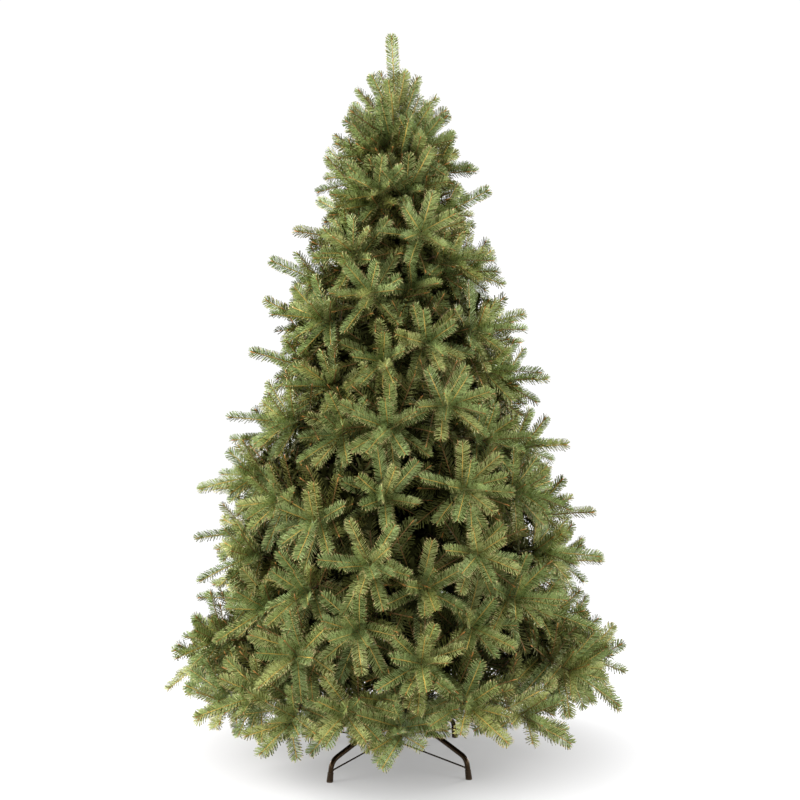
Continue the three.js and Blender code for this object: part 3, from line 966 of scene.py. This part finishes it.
def pole_relief(bm):
    """The weld line up the tubes and their slight unevenness."""
    for vert in bm.verts:
        out = Vector((vert.co.x, vert.co.y, 0))
        if out.length < 0.005:
            continue
        turn = math.atan2(out.y, out.x)
        seam = max(0.0, 1 - abs(turn - SEAM["turn"]) / SEAM["width"])
        dent = noise.noise(Vector((out.x, out.y, vert.co.z * 0.25)) * 60)
        vert.co += out.normalized() * (SEAM["proud"] * seam + DENT * dent)


def flanged_ring(inner, outer, tall, height):
    """A ring on the pole with a flange at each edge, which the boughs hook into."""
    waist = outer - 0.35 * (outer - inner)
    low, high = height - tall / 2, height + tall / 2
    edge = 0.18 * tall
    profile = [
        (inner, low), (outer, low), (outer, low + edge), (waist, low + 1.5 * edge),
        (waist, high - 1.5 * edge), (outer, high - edge), (outer, high), (inner, high),
    ]
    return lathe(profile, POLE_STEPS, closed=True, rounding=0.0006)


def add_pole(lines):
    bm = lathe(pole_profile(), POLE_STEPS)
    pole_relief(bm)
    smoothed(bm)
    enamel = pole_enamel()
    add_piece(bm, "pole_tube", enamel, ["pole"])
    solids = [flanged_ring(POLE_SECTIONS[0][1], RING_RADIUS, RING_TALL, RING_HEIGHT)]
    roots = {}
    for name, line in lines.items():
        if 0 < tier_of(name) < TIERS:
            roots.setdefault(tier_of(name), []).append(line[0][2])
    for heights in roots.values():
        height = sum(heights) / len(heights)
        radius = next(r for top, r in POLE_SECTIONS if height < top)
        solids.append(flanged_ring(radius, radius + RING_SLACK, 0.8 * RING_TALL, height))
    add_piece(joined(solids), "bough_rings", enamel, [])
    hinges = []
    for number in BARE_BOUGHS:
        spots = [(PLATE_REACH, side * PLATE_ASIDE, RING_HEIGHT) for side in (-1, 1)]
        plates = [block(HINGE_PLATE, spot, 0.0006) for spot in spots]
        ends = np.array([[PIN_REACH, side * PIN_ASIDE, RING_HEIGHT] for side in (-1, 1)])
        hinge = joined([*plates, sweep(ends, [PIN_RADIUS] * 2, 12)])
        end = bough_line(number)[1]
        move(hinge, Matrix.Rotation(math.atan2(end[1], end[0]), 4, "Z"))
        hinges.append(hinge)
    add_piece(joined(hinges), "bough_hinges", enamel, [])


BOUGH_ROWS = 96
BOUGH_SIDES = 20
BOUGH_RADII = (0.0075, 0.0050)  # at its root and at its end
TAPE_TURNS = 15  # of the tape wound on a bough
TAPE_PROUD = 0.0006
WIRE_PROUD = 0.0003  # the twisted wires that show through the tape
WIRES, WIRE_TWIST = 3, 40


def bough_line(number):
    """Where a bare bough starts and ends."""
    points = node_points(f"bough_{number}")
    out = np.hypot(points[:, 0], points[:, 1])
    start = points[out < out.min() + 0.012].mean(axis=0)
    return start, points[out > out.max() - 0.012].mean(axis=0)


def add_bough(number, tape):
    """A bough of twisted wires wound with tape: each turn of the tape overlaps the one before."""
    start, end = bough_line(number)
    share = np.linspace(0, 1, BOUGH_ROWS)
    points = start + (end - start) * share[:, None]
    bm = sweep(points, np.interp(share, [0, 1], BOUGH_RADII), BOUGH_SIDES)
    way = Vector(unit(end - start))
    side = way.cross(Vector((0, 0, 1))).normalized()
    rise = side.cross(way)
    span = float(np.linalg.norm(end - start))
    for vert in bm.verts:
        offset = vert.co - Vector(start)
        at = offset.dot(way)
        out = offset - way * at
        angle = math.atan2(out.dot(rise), out.dot(side))
        wound = (TAPE_TURNS * at / span + angle / (2 * math.pi)) % 1.0
        twist = math.cos(WIRES * angle + WIRE_TWIST * at / span)
        fibre = noise.noise(vert.co * 900)
        vert.co += out.normalized() * (TAPE_PROUD * (wound - 0.8) + WIRE_PROUD * (twist + 0.5 * fibre - 1))
    smoothed(bm)
    add_piece(bm, f"bare_bough_{number}", tape, [f"bough_{number}"])


# ---- The stand ----
SLEEVE_BOTTOM, SLEEVE_TOP, SLEEVE_RADIUS, SLEEVE_FLOOR = 0.040, 0.198, 0.019, 0.0057
COLLAR_BOTTOM, COLLAR_TOP, COLLAR_RADIUS = 0.063, 0.151, 0.023
TOUCH = 0.0003  # between two pieces that touch
FOOT_REACH = 0.300
LEG_RADIUS = 0.008
ELBOW_REACH, ELBOW_HEIGHT, ELBOW_BEND = 0.291, 0.062, 0.040
BRACE_RADIUS, BRACE_END = 0.0025, 0.033
FOOT_PROFILE = [
    (0, -0.004), (0.0102, -0.004), (0.0102, 0.0030), (0.0092, 0.0230), (0.0095, 0.0250), (0.0094, 0.0280),
    (0.0083, 0.0280), (0.0083, 0.0040), (0, 0.0040),
]
FOOT_FLOOR = 0.004
# Of the weld at a root: how far back from its end, and how proud of the tube
WELD_BEAD = [(0.0040, 0.0001), (0.0024, 0.0009), (0.0012, 0.0016), (0.0004, 0.0010)]
FIRST_LEG_DEGREES = -41.6
# What a pair of legs is welded to, where the legs and the braces leave it, and the numbers of the legs
LEG_PAIRS = [(SLEEVE_RADIUS, 0.165, 0.055, (1, 3)), (COLLAR_RADIUS, 0.143, 0.071, (2, 4))]
SCREW_HEIGHT, SCREW_RADIUS, SCREW_LENGTH, SCREW_PITCH = 0.187, 0.003, 0.024, 0.00125
ROOT_RADIUS = 0.8 * SCREW_RADIUS  # between the threads
EYE_RADIUS, EYE_THICKNESS = 0.009, 0.0022
SCREW_DEGREES = (3.5, 183.5)


def leg_line(root_reach, root_height):
    """The middle of a leg in its own plane: down the slope, round the elbow and to the foot."""
    root = np.array([root_reach, 0, root_height])
    elbow = np.array([ELBOW_REACH, 0, ELBOW_HEIGHT])
    foot = np.array([FOOT_REACH, 0, 0])
    inward, down = unit(root - elbow), unit(foot - elbow)
    tangent = ELBOW_BEND / math.tan(math.acos(inward @ down) / 2)
    start, end = elbow + inward * tangent, elbow + down * tangent
    t = np.linspace(0, 1, 15)[:, None]
    bend = start * (1 - t) ** 2 + 2 * elbow * t * (1 - t) + end * t**2
    slope = root + (start - root) * np.linspace(0, 1, 8)[:-1, None]
    return np.concatenate([slope, bend, [foot - down * (FOOT_FLOOR + TOUCH)]])


def weld(points, radius):
    """A bead of weld round the root of a leg or brace."""
    way = unit(points[0] - points[1])
    line = np.array([points[0] - way * back for back, _ in WELD_BEAD])
    return sweep(line, [radius + proud for _, proud in WELD_BEAD], 24)


def add_legs(enamel, rubber):
    lean = math.atan2(FOOT_REACH - ELBOW_REACH, ELBOW_HEIGHT)
    for reach, leg_height, brace_height, numbers in LEG_PAIRS:
        slope = math.atan2(leg_height - ELBOW_HEIGHT, ELBOW_REACH - reach)
        leg = leg_line(reach + TOUCH + LEG_RADIUS * math.sin(slope), leg_height)
        fall = math.atan2(brace_height - BRACE_END, FOOT_REACH)
        height = BRACE_END + BRACE_RADIUS
        side = FOOT_REACH - (FOOT_REACH - ELBOW_REACH) * height / ELBOW_HEIGHT - LEG_RADIUS / math.cos(lean)
        end = side - TOUCH - BRACE_RADIUS * math.sin(fall)
        brace = np.linspace((reach + TOUCH, 0, brace_height), (end, 0, BRACE_END), 5)
        # Name, middle, the same from its weld on, radius and sides
        bars = [("leg", leg, leg, LEG_RADIUS, 32), ("brace", brace, brace[::-1], BRACE_RADIUS, 16)]
        for number in numbers:
            spot = about_pole(FIRST_LEG_DEGREES - 90 * (number - 1))
            for name, line, from_weld, radius, sides in bars:
                bm = joined([sweep(line, [radius] * len(line), sides), weld(from_weld, radius)])
                move(bm, spot)
                add_piece(bm, f"{name}_{number}", enamel, [f"stand_{name}_{number}"])
            add_foot(number, spot, lean, rubber)


def add_foot(number, spot, lean, rubber):
    """A plastic cap over the end of a leg, cut flat on the floor."""
    bm = lathe(FOOT_PROFILE, 40)
    move(bm, spot @ Matrix.Translation((FOOT_REACH, 0, 0)) @ Matrix.Rotation(-lean, 4, "Y"))
    cut = bmesh.ops.bisect_plane(
        bm, geom=bm.verts[:] + bm.edges[:] + bm.faces[:], plane_co=(0, 0, 0), plane_no=(0, 0, 1),
        clear_inner=True,
    )
    rim = [part for part in cut["geom_cut"] if isinstance(part, bmesh.types.BMEdge)]
    bmesh.ops.contextual_create(bm, geom=rim)
    round_corners(bm, 0.0004)
    add_piece(bm, f"foot_{number}", rubber, [f"stand_foot_{number}"])


def add_sleeve_and_collar(enamel):
    bore = POLE_SECTIONS[0][1] + TOUCH
    floor = SLEEVE_BOTTOM + SLEEVE_FLOOR
    sleeve = [
        (0, SLEEVE_BOTTOM), (SLEEVE_RADIUS, SLEEVE_BOTTOM), (SLEEVE_RADIUS, SLEEVE_TOP), (bore, SLEEVE_TOP),
        (bore, floor), (0, floor),
    ]
    add_piece(lathe(sleeve, 64, rounding=0.0008), "sleeve", enamel, ["stand_sleeve"])
    inner, outer = SLEEVE_RADIUS + TOUCH, COLLAR_RADIUS
    collar = [(inner, COLLAR_BOTTOM), (outer, COLLAR_BOTTOM), (outer, COLLAR_TOP), (inner, COLLAR_TOP)]
    add_piece(lathe(collar, 64, closed=True, rounding=0.0010), "collar", enamel, ["stand_collar"])


def add_screws(zinc):
    """Eye screws through the top of the sleeve, which grip the pole."""
    start = SLEEVE_RADIUS + TOUCH
    profile = [(0, 0), (ROOT_RADIUS, 0)]
    for i in range(int(0.7 * SCREW_LENGTH / SCREW_PITCH)):
        profile += [(SCREW_RADIUS, (i + 0.45) * SCREW_PITCH), (ROOT_RADIUS, (i + 0.95) * SCREW_PITCH)]
    plain_radius = 0.85 * SCREW_RADIUS
    profile += [(plain_radius, 0.75 * SCREW_LENGTH), (plain_radius, SCREW_LENGTH), (0, SCREW_LENGTH)]
    middle = start + SCREW_LENGTH + EYE_RADIUS - 0.001  # of the eye, whose ring the shank runs into
    for number, degrees in enumerate(SCREW_DEGREES, 1):
        shank = lathe(profile, 20)
        move(shank, Matrix.Translation((start, 0, SCREW_HEIGHT)) @ Matrix.Rotation(math.pi / 2, 4, "Y"))
        bm = joined([shank, ring_bar(EYE_RADIUS, EYE_THICKNESS, (middle, 0, SCREW_HEIGHT))])
        move(bm, about_pole(degrees))
        add_piece(bm, f"screw_{number}", zinc, [f"stand_screw_{number}"])


# ---- Finishes of the pole, boughs and stand ----
def cloud(shader, place, scale, detail=4.0, stretch=(1, 1, 1)):
    """Noise from 0 to 1 on the piece's own coordinates."""
    stretched = shader.node("ShaderNodeMapping", {}, {"Vector": place, "Scale": stretch})[0]
    return shader.node("ShaderNodeTexNoise", {}, {"Vector": stretched, "Scale": scale, "Detail": detail})[0]


def above(shader, value, low, high):
    """0 below low and 1 above high, with an even rise between them."""
    settings = {"clamp": True}
    sockets = {"Value": value, "From Min": low, "From Max": high}
    return shader.node("ShaderNodeMapRange", settings, sockets)[0]


def uneven(least, scale, more):
    """A roughness that drifts over the piece."""
    return lambda shader, place: least + cloud(shader, place, scale) * more


def grain(scale, detail):
    """A relief of fine noise."""
    return lambda shader, place: cloud(shader, place, scale, detail)


def surface(name, colour, roughness, height=None, depth=0.0, **constants):
    """A material from functions of its shader and place, for its colour, roughness and relief."""
    material = bpy.data.materials.new(name)
    shader = Shader(material)
    place = shader.node("ShaderNodeTexCoord")["Object"]
    inputs = {label.replace("_", " "): value for label, value in constants.items()}
    inputs["Base Color"] = colour(shader, place)
    inputs["Roughness"] = roughness(shader, place)
    if height:
        sockets = {"Height": height(shader, place), "Strength": 1.0, "Distance": depth}
        inputs["Normal"] = shader.node("ShaderNodeBump", {}, sockets)[0]
    shader.finish(inputs)
    return material


def stand_enamel():
    """Gloss bronze-brown enamel with the slight ripple of a sprayed coat and a few dull scuffs."""

    def colour(shader, place):
        drift = cloud(shader, place, 38.0)
        fleck = above(shader, cloud(shader, place, 2400.0, 1.0), 0.58, 0.70)
        coat = shader.mix(drift, (0.012, 0.0070, 0.0032), (0.036, 0.021, 0.0095))
        return shader.mix(fleck * 0.30, coat, (0.24, 0.16, 0.085))

    def roughness(shader, place):
        scuff = above(shader, cloud(shader, place, 90.0, 6.0, (1, 1, 0.35)), 0.60, 0.72)
        return 0.11 + cloud(shader, place, 60.0) * 0.08 + scuff * 0.20

    def height(shader, place):
        return cloud(shader, place, 520.0, 2.0) + cloud(shader, place, 90.0) * 0.6

    return surface("stand_enamel", colour, roughness, height, 0.00011, Metallic=0.8, Coat_Weight=0.04,
                   Coat_Roughness=0.05, Specular_IOR_Level=0.12)


def pole_enamel():
    """Dark green satin enamel, thinner and browner in streaks along the tube, with a dusty bloom."""

    def colour(shader, place):
        drift = cloud(shader, place, 26.0, 4.0, (1, 1, 0.3))
        streak = above(shader, cloud(shader, place, 220.0, 3.0, (1, 1, 0.06)), 0.60, 0.75)
        coat = shader.mix(drift, (0.022, 0.034, 0.014), (0.050, 0.060, 0.026))
        return shader.mix(streak * 0.5, coat, (0.085, 0.075, 0.045))

    roughness = uneven(0.38, 70.0, 0.22)
    return surface("pole_enamel", colour, roughness, grain(600.0, 2.0), 0.00012, Metallic=0.1)


def bough_tape():
    """Crinkled amber-brown paper tape, with dark patches of noise as a painted shade of its folds."""

    def colour(shader, place):
        painted_fold_shade = cloud(shader, place, 240.0, 6.0)
        stain = above(shader, cloud(shader, place, 34.0), 0.42, 0.66)
        paper = shader.mix(above(shader, painted_fold_shade, 0.30, 0.68), (0.070, 0.030, 0.010), (0.38, 0.19, 0.050))
        return shader.mix(stain * 0.45, paper, (0.12, 0.085, 0.030))

    return surface("bough_tape", colour, uneven(0.62, 180.0, 0.25), grain(420.0, 8.0), 0.0006)


def branch_tape():
    """The same tape on the thin branches, darker all over as painted shade inside the crown."""

    def colour(shader, place):
        painted_fold_shade = above(shader, cloud(shader, place, 160.0, 4.0), 0.30, 0.70)
        return shader.mix(painted_fold_shade, (0.026, 0.014, 0.007), (0.110, 0.060, 0.022))

    return surface("branch_tape", colour, uneven(0.65, 120.0, 0.25))


def foot_plastic():
    """Dark brown moulded plastic with a fine grain, scuffed pale where it meets the floor."""

    def colour(shader, place):
        speckle = cloud(shader, place, 900.0, 3.0)
        rise = shader.node("ShaderNodeSeparateXYZ", {}, {0: place})["Z"]
        rubbed = above(shader, cloud(shader, place, 300.0), 0.40, 0.62)
        scuffed = (1 - above(shader, rise, 0.0005, 0.0060)) * rubbed
        plastic = shader.mix(speckle, (0.014, 0.008, 0.0035), (0.038, 0.022, 0.010))
        return shader.mix(scuffed * 0.5, plastic, (0.16, 0.12, 0.085))

    return surface("foot_plastic", colour, uneven(0.27, 260.0, 0.20), grain(1500.0, 3.0), 0.00014,
                   Specular_IOR_Level=0.12)


def screw_zinc():
    """Dark zinc plate, patchy, with bright rubbed spots."""

    def colour(shader, place):
        patch = cloud(shader, place, 260.0, 5.0)
        rubbed = above(shader, cloud(shader, place, 700.0), 0.56, 0.70)
        plate = shader.mix(patch, (0.10, 0.082, 0.060), (0.24, 0.21, 0.165))
        return shader.mix(rubbed * 0.6, plate, (0.46, 0.43, 0.38))

    return surface("screw_zinc", colour, uneven(0.26, 320.0, 0.30), grain(900.0, 4.0), 0.0001, Metallic=0.9)


def add_metalwork(lines):
    add_pole(lines)
    tape = bough_tape()
    for number in BARE_BOUGHS:
        add_bough(number, tape)
    enamel = stand_enamel()
    add_sleeve_and_collar(enamel)
    add_legs(enamel, foot_plastic())
    add_screws(screw_zinc())


add_studio()
add_floor()
limbs, sprays, lines = grow()
add_metalwork(lines)
add_needles(sprays, needle_tints())
add_stems(sprays)
add_limbs(limbs)
